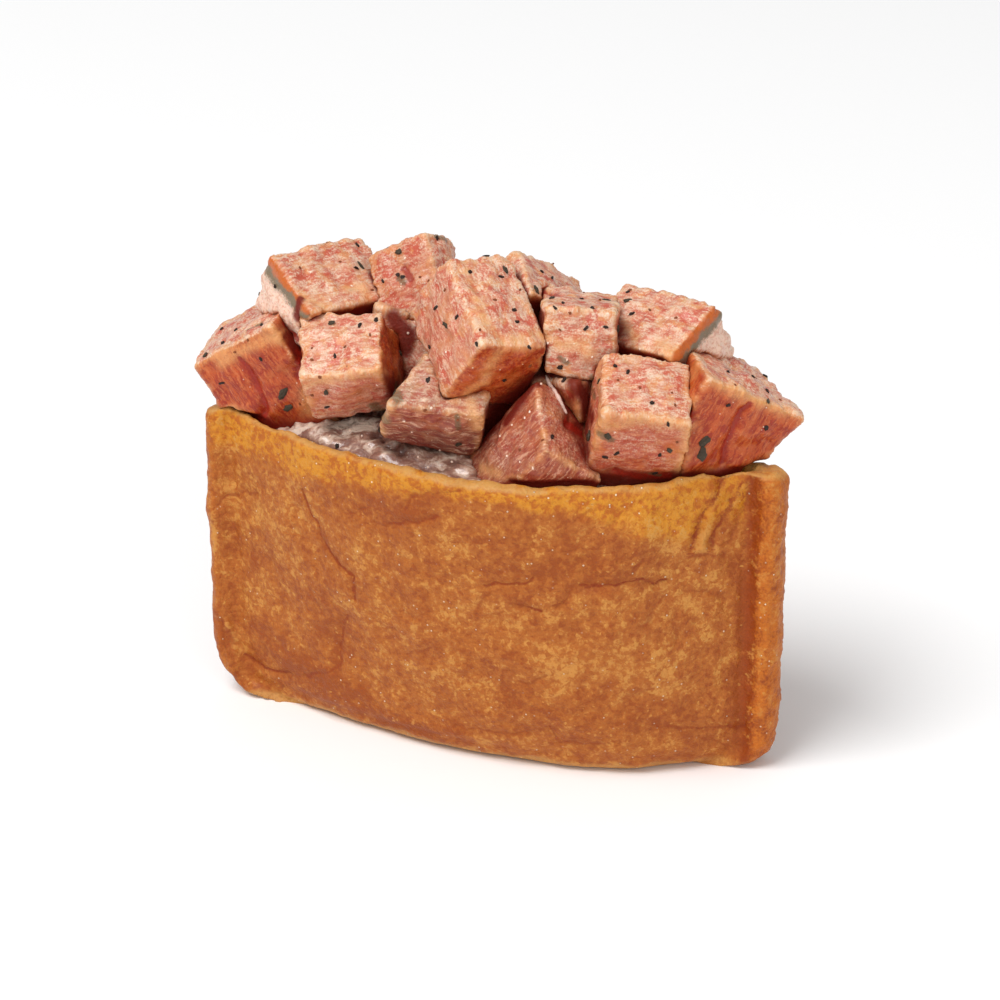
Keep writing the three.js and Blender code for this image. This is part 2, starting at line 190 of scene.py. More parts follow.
# Blood red lines, herb stains, dark gaps and pale ridges that the photo shows on the fish, by its pixels: how
# wide each one is in mm, then the way it runs.
RED_VEINS = (
    (0.45, ((241, 358), (248, 366), (253, 378))),
    (0.55, ((254, 380), (262, 394), (267, 408), (262, 418))),
    (0.6, ((284, 325), (297, 338), (298, 376))),
    (0.5, ((404, 268), (412, 280))),
    (0.45, ((749, 404), (741, 410), (737, 420))),
    (0.55, ((737, 420), (726, 440), (722, 462))),
    (0.6, ((690, 392), (693, 420))),
    (0.7, ((616, 470), (640, 475), (668, 474))),
    (0.7, ((545, 292), (560, 298))),
    (0.9, ((566, 424), (580, 436))),
)
GREEN_STAINS = (
    (0.5, ((250, 332), (262, 325))),
    (1.0, ((394, 386), (398, 400))),
    (1.1, ((374, 404), (386, 418))),
    (0.6, ((400, 278), (405, 283))),
    (0.7, ((600, 434), (611, 438))),
    (0.7, ((592, 378), (597, 396))),
    (0.5, ((560, 357), (567, 362))),
    (0.5, ((457, 416), (459, 425))),
    (0.4, ((724, 370), (736, 372))),
    (0.5, ((435, 236), (445, 241))),
    (0.4, ((650, 472), (660, 474))),
)
# The dark gaps are painted shade deep between the cubes.
CREVICE_SHADE = (
    (1.5, ((394, 318), (408, 334), (404, 350))),
    (1.0, ((508, 422), (520, 404), (536, 384))),
    (1.3, ((572, 378), (584, 398), (594, 418))),
    (0.8, ((300, 300), (299, 318))),
)
# The pale ridges are painted highlights along the lit edges and ridges of the cubes.
PAINTED_RIDGE_LIGHT = (
    (0.9, ((222, 362), (245, 348), (275, 336), (286, 330))),
    (0.9, ((502, 343), (482, 380), (455, 400))),
    (0.8, ((464, 262), (478, 310), (500, 343))),
    (0.8, ((502, 341), (548, 336))),
    (0.8, ((306, 385), (330, 378), (385, 372))),
    (1.0, ((306, 392), (309, 410))),
    (1.0, ((300, 296), (319, 306))),
    (0.9, ((345, 290), (361, 288), (368, 300))),
    (1.0, ((560, 345), (580, 342), (588, 352))),
    (1.0, ((600, 425), (640, 420), (690, 425))),
    (0.9, ((601, 370), (603, 420))),
    (0.9, ((688, 430), (684, 455), (678, 470))),
    (1.0, ((674, 352), (660, 345))),
    (0.8, ((625, 325), (635, 340))),
    (0.9, ((715, 380), (735, 392), (760, 400), (785, 410))),
    (1.0, ((470, 405), (478, 425))),
    (0.8, ((482, 468), (500, 474))),
)

# The flakes and drops that the photo shows on the fish, by the pixel in their middle.
LARGE_FLAKES = ((283, 393), (288, 408), (705, 441), (702, 454), (608, 436), (589, 436))
PEPPER_SPOTS = (
    (222, 329), (236, 330), (223, 343), (262, 325), (261, 359), (222, 383), (728, 372), (753, 377),
    (765, 376), (767, 391), (728, 405), (766, 428), (360, 325), (376, 320), (335, 356), (327, 407),
    (617, 453), (615, 366), (628, 372), (652, 403), (668, 424), (605, 457), (660, 455), (655, 473),
    (470, 272), (501, 277), (517, 322), (514, 310), (436, 308), (457, 317), (430, 347), (477, 344),
    (529, 347), (504, 380), (563, 303), (582, 299), (592, 308), (555, 308), (586, 328), (606, 327),
    (564, 380), (560, 367), (357, 245), (325, 242), (356, 268), (275, 286), (437, 238), (398, 275),
    (403, 277), (383, 281), (542, 272), (552, 278), (428, 380), (664, 288), (632, 314), (628, 292),
    (337, 446), (552, 437),
)
SPICE_SPOTS = (
    (312, 348), (312, 360), (320, 377), (312, 395), (672, 393), (675, 405), (677, 442), (530, 366),
    (570, 313), (420, 277), (458, 420), (425, 410), (630, 290), (370, 335), (382, 336), (345, 347),
    (618, 380), (640, 388), (560, 330), (600, 300), (650, 310), (676, 318), (300, 268), (340, 262),
    (372, 290), (735, 385), (780, 400), (248, 340), (235, 352), (300, 404), (495, 300), (520, 290),
    (480, 330), (445, 290), (543, 440), (520, 450),
)
# The drops are pale beads of dressing put where the wet flesh shows white glints: painted highlights.
GLINT_DROPS = (
    (377, 385), (431, 408), (428, 467), (418, 457), (404, 421), (412, 432), (592, 357), (615, 432),
    (567, 360), (533, 468), (520, 462), (512, 425), (525, 418), (530, 412), (507, 456), (566, 413),
    (640, 349), (667, 318), (633, 289), (408, 333), (446, 352), (548, 343), (330, 300), (352, 286),
    (310, 272), (446, 262), (425, 283), (405, 258), (330, 436), (350, 430), (362, 436), (440, 450),
    (452, 462), (500, 436), (541, 384), (556, 395),
)

# The thin strand of dressing on the fish, by the pixels that it runs through.
STRAND = ((546, 376), (550, 385), (556, 394), (561, 404), (566, 414))

# The camera that fits the photo: how far round and up it stands, in degrees, and its measures in mm.
CAMERA = {
    "azimuth": 17.0, "elevation": 24.0, "distance": 450.0, "aim_height": 30.0, "lens": 121.8, "sensor": 36.0,
}
CAMERA_SHIFT = (0.01007, 0.02257)
PHOTO_SIZE = 1000

# The pouch's height and where the folds beside its sealed ends run, and a length beyond any on it, in mm.
POUCH_HEIGHT = 42.4
RIGHT_FOLD = 35.4
LEFT_FOLD = -37.7
FAR = 99.0

# Where each kind of random draw begins.
SEEDS = {"pouch": 3, "filling": 7, "filling_rays": 5, "cubes": 100, "flakes": 40, "strand": 9}


def linear(red, green, blue):
    """A colour given in screen values from 0 to 255, as the light that a shader works in."""
    shares = [value / 255 for value in (red, green, blue)]
    return tuple(s / 12.92 if s <= 0.04045 else ((s + 0.055) / 1.055) ** 2.4 for s in shares)


def colour(name, description, *screen):
    return FloatVectorProperty(name=name, description=description, subtype="COLOR", size=3, min=0.0, max=1.0,
                               default=linear(*screen))


def length(name, description, millimetres):
    return FloatProperty(name=name, description=description, subtype="DISTANCE", unit="LENGTH", min=0.0,
                         default=millimetres * MM, precision=5)


class PouchSettings(bpy.types.PropertyGroup):
    mesh_size: length("Mesh size", "Spacing of the skin's mesh", 0.4)
    puff: length("Puffs", "Height of the soft swellings in the fried skin", 0.24)
    blister: length("Blisters", "Height of the small blisters and pits", 0.1)
    groove: length("Cracks", "Depth of the cracks and fold lines", 0.34)
    ragged: length("Ragged lip", "How uneven the lip of the mouth is", 0.4)
    skin: colour("Skin", "Simmered tofu skin", 175, 98, 33)
    # Next: darker skin where it soaked up more; the same colour also paints the shade round the cracks and in
    # the fold grooves.
    dark: colour("Dark skin", "Skin where it soaked up more", 152, 72, 16)
    # Next: pale flecks in the skin; the same colour also paints the highlights on the raised pleats.
    pale: colour("Pale skin", "Pale flecks in the skin", 206, 142, 66)
    mouth: colour("Mouth band", "Yellower band below the mouth", 208, 136, 32)
    mouth_dark: colour("Mouth band, dark", "Darker patches in the mouth band", 180, 96, 20)
    crack: colour("Cracks", "Bottom of the cracks", 136, 46, 0)
    ridge: colour("Ridge", "Outer part of the puffy sealed end", 192, 104, 22)
    # Next: the darker inner part of the sealed end beside the fold, painted shade from the fold groove.
    ridge_dark: colour("Ridge, dark", "Inner part of the puffy sealed end", 146, 62, 6)
    rim: colour("Rim", "Inner layer that shows on the lip and the foot", 204, 152, 84)
    # Next: painted highlights, the colour of tiny glints of light on the wet skin.
    painted_glint: colour("Sparkles", "Tiny specks of dried glaze", 255, 236, 205)


class SalmonSettings(bpy.types.PropertyGroup):
    mesh_size: length("Mesh size", "Spacing of the flesh's mesh", 0.3)
    swell: length("Swell", "How far the flesh fills the gaps between cubes", 0.27)
    fibre: length("Fibres", "Depth of the muscle fibres", 0.09)
    dent: length("Dents", "Depth of the soft dents in the faces", 0.4)
    rag: length("Ragged edge", "How uneven the knife left the edges", 0.6)
    # pink is the flesh where it looks up and is lit; orange and red are the same flesh painted as in shade on
    # the sides.
    pink: colour("Pink flesh", "Flesh of the faces that look up", 219, 156, 127)
    rose: colour("Rose flesh", "Redder mottling in the pink flesh", 198, 92, 68)
    cream: colour("Cream", "Fat and the film of dressing", 238, 212, 186)
    # Next: a warm gold, both mottled through the flesh and painted as the glow of light through the edges.
    gold_and_edge_glow: colour("Edges", "Edges where light comes through", 230, 168, 104)
    orange: colour("Orange flesh", "Flesh of the sides", 188, 80, 26)
    red: colour("Red flesh", "Darker streaks in the sides", 156, 42, 4)
    # Next: painted shade, the dark red of the flesh deep between the cubes.
    deep: colour("Crevices", "Flesh deep between the cubes", 112, 16, 0)
    vein: colour("Veins", "Blood red streaks", 154, 26, 4)
    tan: colour("Tan fibres", "Pale fibres in the sides", 212, 122, 68)
    mauve: colour("Dressed flesh", "Flesh under the purple grey dressing", 146, 100, 80)
    plum: colour("Dressed flesh, dark", "Darkest part of the dressing", 108, 62, 56)
    speck: colour("Specks", "Tiny specks of brown spice", 112, 58, 30)
    olive: colour("Herb stains", "Where herbs left their colour", 92, 76, 46)
    skin_orange: colour("Skin side, edge", "Orange layer of the skin side", 196, 98, 34)
    skin_grey: colour("Skin side, middle", "Grey green layer of the skin side", 128, 110, 86)
    skin_white: colour("Skin side, pale", "Whitish layer of the skin side", 244, 210, 188)


class FillingSettings(bpy.types.PropertyGroup):
    mesh_size: length("Mesh size", "Spacing of the filling's mesh", 0.45)
    lump: length("Lumps", "Height of the lumps on top", 0.8)
    flesh: colour("Flesh", "Mauve fish in the filling", 178, 138, 118)
    plum: colour("Dark flesh", "Darkest part of the filling", 136, 96, 82)
    cream: colour("Cream", "Pale dressing", 228, 206, 186)
    # Next: painted shade in the gaps between the lumps.
    deep: colour("Crevices", "Dark gaps between the lumps", 64, 24, 16)


class FlakeSettings(bpy.types.PropertyGroup):
    pepper: colour("Pepper", "Cracked black pepper", 38, 22, 14)
    herb: colour("Herb", "Dried herb", 62, 52, 38)
    spice: colour("Spice", "Small brown spice", 126, 64, 30)
    # Next: pale beads of dressing that stand in for glints on the wet flesh: painted highlights.
    drops: colour("Drops", "Tiny drops of dressing", 246, 216, 194)
    per_cube: IntProperty(name="Flakes for each cube", description="Grains on the side that the photo hides",
                          default=9)


class StageSettings(bpy.types.PropertyGroup):
    floor: colour("Floor", "Plain pale floor", 255, 255, 255)
    key: FloatProperty(name="Key light", description="Strength of the main light", unit="POWER", default=31)
    fill: FloatProperty(name="Fill light", description="Strength of the fill light", unit="POWER", default=8)
    sky: FloatProperty(name="Sky", description="Strength of the light from all round", default=0.43)


class Noise:
    """Smooth random values over space, from about -1 to 1, the same on every run."""

    STRENGTH = 1.6
    LAYER_SHIFT = 17.3

    def __init__(self, seed):
        chance = np.random.default_rng(seed)
        self.order = np.tile(chance.permutation(256), 2)
        slopes = chance.normal(size=(256, 3))
        self.slopes = slopes / np.linalg.norm(slopes, axis=1, keepdims=True)

    def once(self, places):
        cell = np.floor(places).astype(int)
        inside = places - cell
        cell &= 255
        ease = inside * inside * inside * (inside * (inside * 6 - 15) + 10)
        total = np.zeros(len(places))
        for corner in np.ndindex(2, 2, 2):
            x, y, z = (cell + corner).T
            pick = self.order[(self.order[(self.order[x & 255] + y) & 255] + z) & 255]
            slope = np.einsum("ij,ij->i", self.slopes[pick], inside - corner)
            weight = np.prod(np.where(corner, ease, 1 - ease), axis=1)
            total += slope * weight
        return total * self.STRENGTH

    def at(self, places, size, layers=1):
        """Noise with lumps of the given size, and finer layers on top at half the size and strength."""
        total = np.zeros(len(places))
        for layer in range(layers):
            total += self.once(places * 2 ** layer / size + self.LAYER_SHIFT * layer) / 2 ** layer
        return total


def smoothstep(low, high, values):
    ease = np.clip((values - low) / (high - low), 0, 1)
    return ease * ease * (3 - 2 * ease)


class Value:
    """A number in a shader. Sums with it add the Math nodes that work them out."""

    def __init__(self, shader, socket):
        self.shader = shader
        self.socket = socket

    def __add__(self, other):
        return self.shader.maths("ADD", self, other)

    def __sub__(self, other):
        return self.shader.maths("SUBTRACT", self, other)

    def __rsub__(self, other):
        return self.shader.maths("SUBTRACT", other, self)

    def __mul__(self, other):
        return self.shader.maths("MULTIPLY", self, other)

    def __truediv__(self, other):
        return self.shader.maths("DIVIDE", self, other)

    def __rtruediv__(self, other):
        return self.shader.maths("DIVIDE", other, self)

    def __pow__(self, other):
        return self.shader.maths("POWER", self, other)

    __radd__ = __add__
    __rmul__ = __mul__

    def between(self, low, high):
        """0 below the low value, 1 above the high one, and eased in the middle."""
        settings = {"interpolation_type": "SMOOTHSTEP"}
        sockets = {"Value": self, "From Min": low, "From Max": high}
        return self.shader.add("ShaderNodeMapRange", settings, sockets)


class Shader:
    """One material and the nodes in it."""

    def __init__(self, name):
        self.material = bpy.data.materials.new(name)
        self.material.use_nodes = True
        self.tree = self.material.node_tree
        self.tree.nodes.clear()

    def add(self, kind, settings, sockets, output=0):
        """A node of any kind: its settings go in first, then the values or links of its sockets."""
        node = self.tree.nodes.new(kind)
        for name, value in settings.items():
            setattr(node, name, value)
        for name, value in sockets.items():
            if isinstance(value, Value):
                self.tree.links.new(value.socket, node.inputs[name])
            else:
                node.inputs[name].default_value = value
        return Value(self, node.outputs[output])

    def maths(self, operation, first, second):
        return self.add("ShaderNodeMath", {"operation": operation}, {0: first, 1: second})

    def larger(self, first, second):
        return self.maths("MAXIMUM", first, second)

    def attribute(self, name, output="Fac"):
        return self.add("ShaderNodeAttribute", {"attribute_name": name}, {}, output)

    def scaled(self, vector, factors):
        return self.add("ShaderNodeVectorMath", {"operation": "MULTIPLY"}, {0: vector, 1: factors})

    def noise(self, vector, size, detail=2.0):
        """Noise from 0 to 1 with lumps of the given size, in the vector's own unit."""
        sockets = {"Vector": vector, "Scale": 1 / size, "Detail": detail, "Roughness": 0.55}
        return self.add("ShaderNodeTexNoise", {"noise_dimensions": "3D"}, sockets)

    def cells(self, vector, size):
        """Cells of the given size: how far each place is from its cell's middle, and a chance for each."""
        middle = self.add("ShaderNodeTexVoronoi", {"feature": "F1"}, {"Vector": vector, "Scale": 1 / size})
        return middle, Value(self, middle.socket.node.outputs["Color"])

    def bent(self, vector, size, amount):
        """The vector, shifted here and there by up to the amount."""
        sockets = {"Vector": vector, "Scale": 1 / size, "Detail": 1.0}
        waves = self.add("ShaderNodeTexNoise", {}, sockets, "Color")
        sockets = {0: waves, 1: (amount, amount, amount), 2: vector}
        return self.add("ShaderNodeVectorMath", {"operation": "MULTIPLY_ADD"}, sockets)

    def split(self, vector):
        """The three numbers of a vector."""
        first = self.add("ShaderNodeSeparateXYZ", {}, {"Vector": vector})
        return [Value(self, socket) for socket in first.socket.node.outputs]

    def dots(self, vector, size, share, radius):
        """1 on small dots, one in the middle of each cell that is among the given share of the cells."""
        middle, chance = self.cells(vector, size)
        return (radius - middle).between(0.0, 0.08) * chance.between(1 - share, 1.02 - share)

    def blend(self, factor, first, second):
        """The first colour where the factor is 0 and the second where it is 1."""
        colours = [c if isinstance(c, Value) else (*c, 1.0) for c in (first, second)]
        sockets = {0: factor, 6: colours[0], 7: colours[1]}
        return self.add("ShaderNodeMix", {"data_type": "RGBA", "clamp_factor": True}, sockets, 2)

    def bump(self, height, depth):
        return self.add("ShaderNodeBump", {}, {"Height": height, "Distance": depth, "Strength": 1.0})

    def finish(self, **sockets):
        """The surface. Socket names are given with underscores for their spaces."""
        named = {name.replace("_", " "): value for name, value in sockets.items()}
        surface = self.add("ShaderNodeBsdfPrincipled", {}, named)
        ending = self.tree.nodes.new("ShaderNodeOutputMaterial")
        self.tree.links.new(surface.socket, ending.inputs["Surface"])
        return self.material


def new_piece(name, mesh, material, node_slot, *nodes):
    """Adds an object of the sushi that stands for CAD nodes and moves with them."""
    piece = bpy.data.objects.new(name, mesh)
    bpy.context.collection.objects.link(piece)
    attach(piece, "root")
    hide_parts(*nodes)
    mesh.materials.append(material)


def fine_mesh(node, spacing, smoothing):
    """A finely meshed copy of a CAD node with its facets smoothed away."""
    source = bpy.data.objects.new("source", frame["nodes"][node].data.copy())
    bpy.context.collection.objects.link(source)
    remesh = source.modifiers.new("Remesh", "REMESH")
    remesh.mode = "VOXEL"
    remesh.voxel_size = spacing
    remesh.use_smooth_shade = True
    smooth = source.modifiers.new("Smooth", "SMOOTH")
    smooth.iterations = smoothing
    smooth.factor = 0.5
    bpy.context.view_layer.update()
    evaluated = source.evaluated_get(bpy.context.evaluated_depsgraph_get())
    mesh = bpy.data.meshes.new_from_object(evaluated)
    bpy.data.objects.remove(source)
    mesh.materials.clear()
    return mesh


class Surface:
    """The vertices of a fine mesh in mm, with the tools to shape them and to note facts about them."""

    def __init__(self, mesh):
        self.mesh = mesh
        self.count = len(mesh.vertices)
        self.points = self.read(mesh.vertices, "co").reshape(-1, 3) / MM
        self.edges = self.read(mesh.edges, "vertices", 2, int).reshape(-1, 2)
        self.degree = np.bincount(self.edges.ravel(), minlength=self.count)

    @staticmethod
    def read(items, name, width=3, kind=float):
        values = np.zeros(len(items) * width, np.int32 if kind is int else np.float32)
        items.foreach_get(name, values)
        return values.astype(kind)

    @property
    def normals(self):
        self.mesh.vertices.foreach_set("co", (self.points * MM).astype(np.float32).ravel())
        self.mesh.update()
        return self.read(self.mesh.vertex_normals, "vector").reshape(-1, 3)

    def averaged(self, values, rounds):
        """Each vertex's value, or place, evened out with its neighbours'."""
        start, end = self.edges.T
        values = np.array(values, float)
        columns = values.reshape(self.count, -1).T
        for _ in range(rounds):
            for column in columns:
                total = np.bincount(start, column[end], self.count)
                total = total + np.bincount(end, column[start], self.count)
                column[:] = 0.5 * column + 0.5 * total / self.degree
        return columns.T.reshape(values.shape)

    def push(self, heights):
        """Moves each vertex out along its normal."""
        self.points = self.points + self.normals * np.asarray(heights)[:, None]

    def sharpness(self, rounds):
        """How far each vertex stands out from its surroundings, in mm: more than 0 on edges and corners."""
        offset = self.points - self.averaged(self.points, rounds)
        return np.einsum("ij,ij->i", offset, self.normals)

    def note(self, name, values):
        """Keeps a value or a vector for each vertex where the materials can read it."""
        wide = np.ndim(values) == 2
        attribute = self.mesh.attributes.new(name, "FLOAT_VECTOR" if wide else "FLOAT", "POINT")
        attribute.data.foreach_set("vector" if wide else "value", np.asarray(values, np.float32).ravel())

    def done(self):
        self.normals
        self.mesh.shade_smooth()
        return self.mesh


def whole_tree(*left_out):
    """One search tree over every CAD node but those left out."""
    vertices = []
    polygons = []
    for name, node in frame["nodes"].items():
        if name in left_out:
            continue
        first = len(vertices)
        vertices += [vertex.co.copy() for vertex in node.data.vertices]
        polygons += [[first + index for index in polygon.vertices] for polygon in node.data.polygons]
    return BVHTree.FromPolygons(vertices, polygons)


def shelter(surface, tree, reach, rays, seed):
    """How closed in each vertex is: the share of rays from it that soon meet a CAD node."""
    clearance = 0.7
    spread = 0.55
    rounds = 4
    chance = np.random.default_rng(seed)
    normals = surface.normals
    met = np.zeros(surface.count)
    starts = (surface.points + normals * clearance) * MM
    for _ in range(rays):
        directions = normals + chance.normal(size=normals.shape) * spread
        for index in range(surface.count):
            hit = tree.ray_cast(Vector(starts[index]), Vector(directions[index]), reach * MM)
            met[index] += hit[0] is not None
    return surface.averaged(met / rays, rounds)


def offset_from_line(x, z, corners):
    """The way to each place from the nearest point of a line through the given corners."""
    best = np.full((len(x), 2), FAR)
    for (ax, az), (bx, bz) in zip(corners, corners[1:]):
        along = ((x - ax) * (bx - ax) + (z - az) * (bz - az)) / ((bx - ax) ** 2 + (bz - az) ** 2)
        along = np.clip(along, 0, 1)
        offset = np.column_stack([x - ax - along * (bx - ax), z - az - along * (bz - az)])
        nearer = np.hypot(*offset.T) < np.hypot(*best.T)
        best[nearer] = offset[nearer]
    return best


def camera_axes():
    """The directions to the right of the picture, up it and back out of it."""
    round_by, up_by = (math.radians(CAMERA[key]) for key in ("azimuth", "elevation"))
    level = math.cos(up_by)
    back = np.array([math.sin(round_by) * level, -math.cos(round_by) * level, math.sin(up_by)])
    right = np.array([math.cos(round_by), math.sin(round_by), 0])
    return right, np.cross(back, right), back


def camera_place():
    """Where the camera stands, in mm."""
    return POUCH_MIDDLE + (0, 0, CAMERA["aim_height"]) + camera_axes()[2] * CAMERA["distance"]


def seen_at(trees, across, down):
    """What the sight line through a pixel of the photo first meets: its place, in metres, and its normal."""
    right, up, back = camera_axes()
    step = CAMERA["sensor"] / CAMERA["lens"] / PHOTO_SIZE
    side = (across - PHOTO_SIZE / 2 + CAMERA_SHIFT[0] * PHOTO_SIZE) * step
    rise = (PHOTO_SIZE / 2 - down + CAMERA_SHIFT[1] * PHOTO_SIZE) * step
    sight = Vector(right * side + up * rise - back)
    hits = [tree.ray_cast(Vector(camera_place() * MM), sight) for tree in trees]
    hits = [hit for hit in hits if hit[0] is not None]
    return min(hits, key=lambda hit: hit[3])[:2] if hits else (None, None)


def marked(points, marks, tree):
    """How strongly lines that the photo shows mark each place, from 0 to 1."""
    stops = 6
    strength = np.zeros(len(points))
    for width, way in marks:
        for start, end in zip(np.array(way, float), np.array(way[1:], float)):
            for share in np.linspace(0, 1, stops):
                spot, _ = seen_at([tree], *(start * (1 - share) + end * share))
                if spot is not None:
                    away = np.linalg.norm(points - np.array(spot) / MM, axis=1) / width
                    strength = np.maximum(strength, np.exp(-away * away))
    return strength


def pouch_material(settings):
    shader = Shader("tofu_skin")
    place = shader.attribute("place", "Vector")
    mouth, rim, shade = shader.split(shader.attribute("zones", "Vector"))
    ridge, outer, inner = shader.split(shader.attribute("ends", "Vector"))
    across, along, near = shader.split(shader.attribute("crack", "Vector"))
    bent = shader.bent(place, 0.8, 0.7)
    broad = shader.noise(place, 8, 3)
    middle = shader.noise(bent, 2.0, 4)
    small = shader.noise(bent, 0.8, 3)
    fine = shader.noise(place, 0.3, 3)
    grain_middle, grain = shader.cells(bent, 0.6)
    # The tone takes in the broad marks: painted shade in the fold grooves and painted highlights on the
    # pleats.
    tone = broad * 0.22 + middle * 0.28 + small * 0.26 + fine * 0.14 + grain * 0.1 + (shade - 0.5) * 0.25
    skin = shader.blend(tone.between(0.39, 0.52), settings.dark, settings.skin)
    skin = shader.blend(tone.between(0.5, 0.61) * 0.85, skin, settings.pale)
    flecks = shader.dots(bent, 0.8, 0.35, 0.3) * middle.between(0.44, 0.58)
    skin = shader.blend(flecks * 0.7, skin, settings.pale)
    pits = shader.dots(bent, 0.7, 0.25, 0.26)
    skin = shader.blend(pits * 0.55, skin, settings.dark)
    band = shader.blend((tone + (small - 0.5) * 0.4).between(0.38, 0.58), settings.mouth_dark, settings.mouth)
    band = shader.blend((tone + flecks * 0.1).between(0.53, 0.68) * 0.7, band, settings.rim)
    skin = shader.blend(mouth * (0.75 + broad * 0.5), skin, band)
    # The sealed end darkens towards its inner side by the fold: painted shade from the fold groove.
    lightness = outer * 0.8 + (middle - 0.5) * 1.6 + (fine - 0.5) * 1.2 + (small - 0.5) * 1.2
    end = shader.blend(lightness.between(0.1, 1.0), settings.ridge_dark, settings.ridge)
    end = shader.blend((tone + flecks * 0.1).between(0.5, 0.64) * 0.7, end, settings.pale)
    skin = shader.blend(ridge, skin, end)
    skin = shader.blend(rim * (0.35 + fine + flecks * 0.3), skin, settings.rim)
    apart = (across * across + along * along) ** 0.5
    apart = shader.larger(apart, near - 0.3)
    broken = (middle * 0.6 + fine * 0.4).between(0.36, 0.56)
    cracked = shader.attribute("cracked")
    line = (1 - apart / (0.1 + broken * 0.26)).between(0.0, 0.7) * cracked * (0.25 + broken * 0.75)
    # Painted shade: a soft darker band round each crack.
    crack_shade = (1 - near / 1.5).between(0.0, 1.0) * cracked
    skin = shader.blend(crack_shade * 0.3, skin, settings.dark)
    skin = shader.blend(line * 0.9, skin, settings.crack)
    # Painted highlights: tiny pale glints of light on the wet skin, gathered in clusters and more on the lip,
    # the sealed end and the mouth band.
    clusters = shader.noise(place, 4, 2).between(0.45, 0.62)
    shine = clusters * 0.75 + rim * 0.5 + ridge * 0.3 + mouth * 0.25 + 0.12
    painted_glints = shader.dots(place, 0.62, 0.2, 0.24) * shine * (1 - inner)
    skin = shader.blend(painted_glints * 0.75, skin, settings.painted_glint)
    tiny = shader.noise(place, 0.16, 2)
    height = fine * 0.6 + tiny * 0.3 + small * 0.5 - grain_middle * 0.4 + painted_glints * 0.6
    rough = 0.42 + middle * 0.25 - painted_glints * 0.25
    return shader.finish(Base_Color=skin, Roughness=rough, Normal=shader.bump(height, 0.22 * MM),
                         Specular_IOR_Level=0.25, Coat_Weight=0.08, Coat_Roughness=0.2,
                         Subsurface_Weight=0.06, Subsurface_Radius=(1.0, 0.4, 0.15),
                         Subsurface_Scale=1.0 * MM)


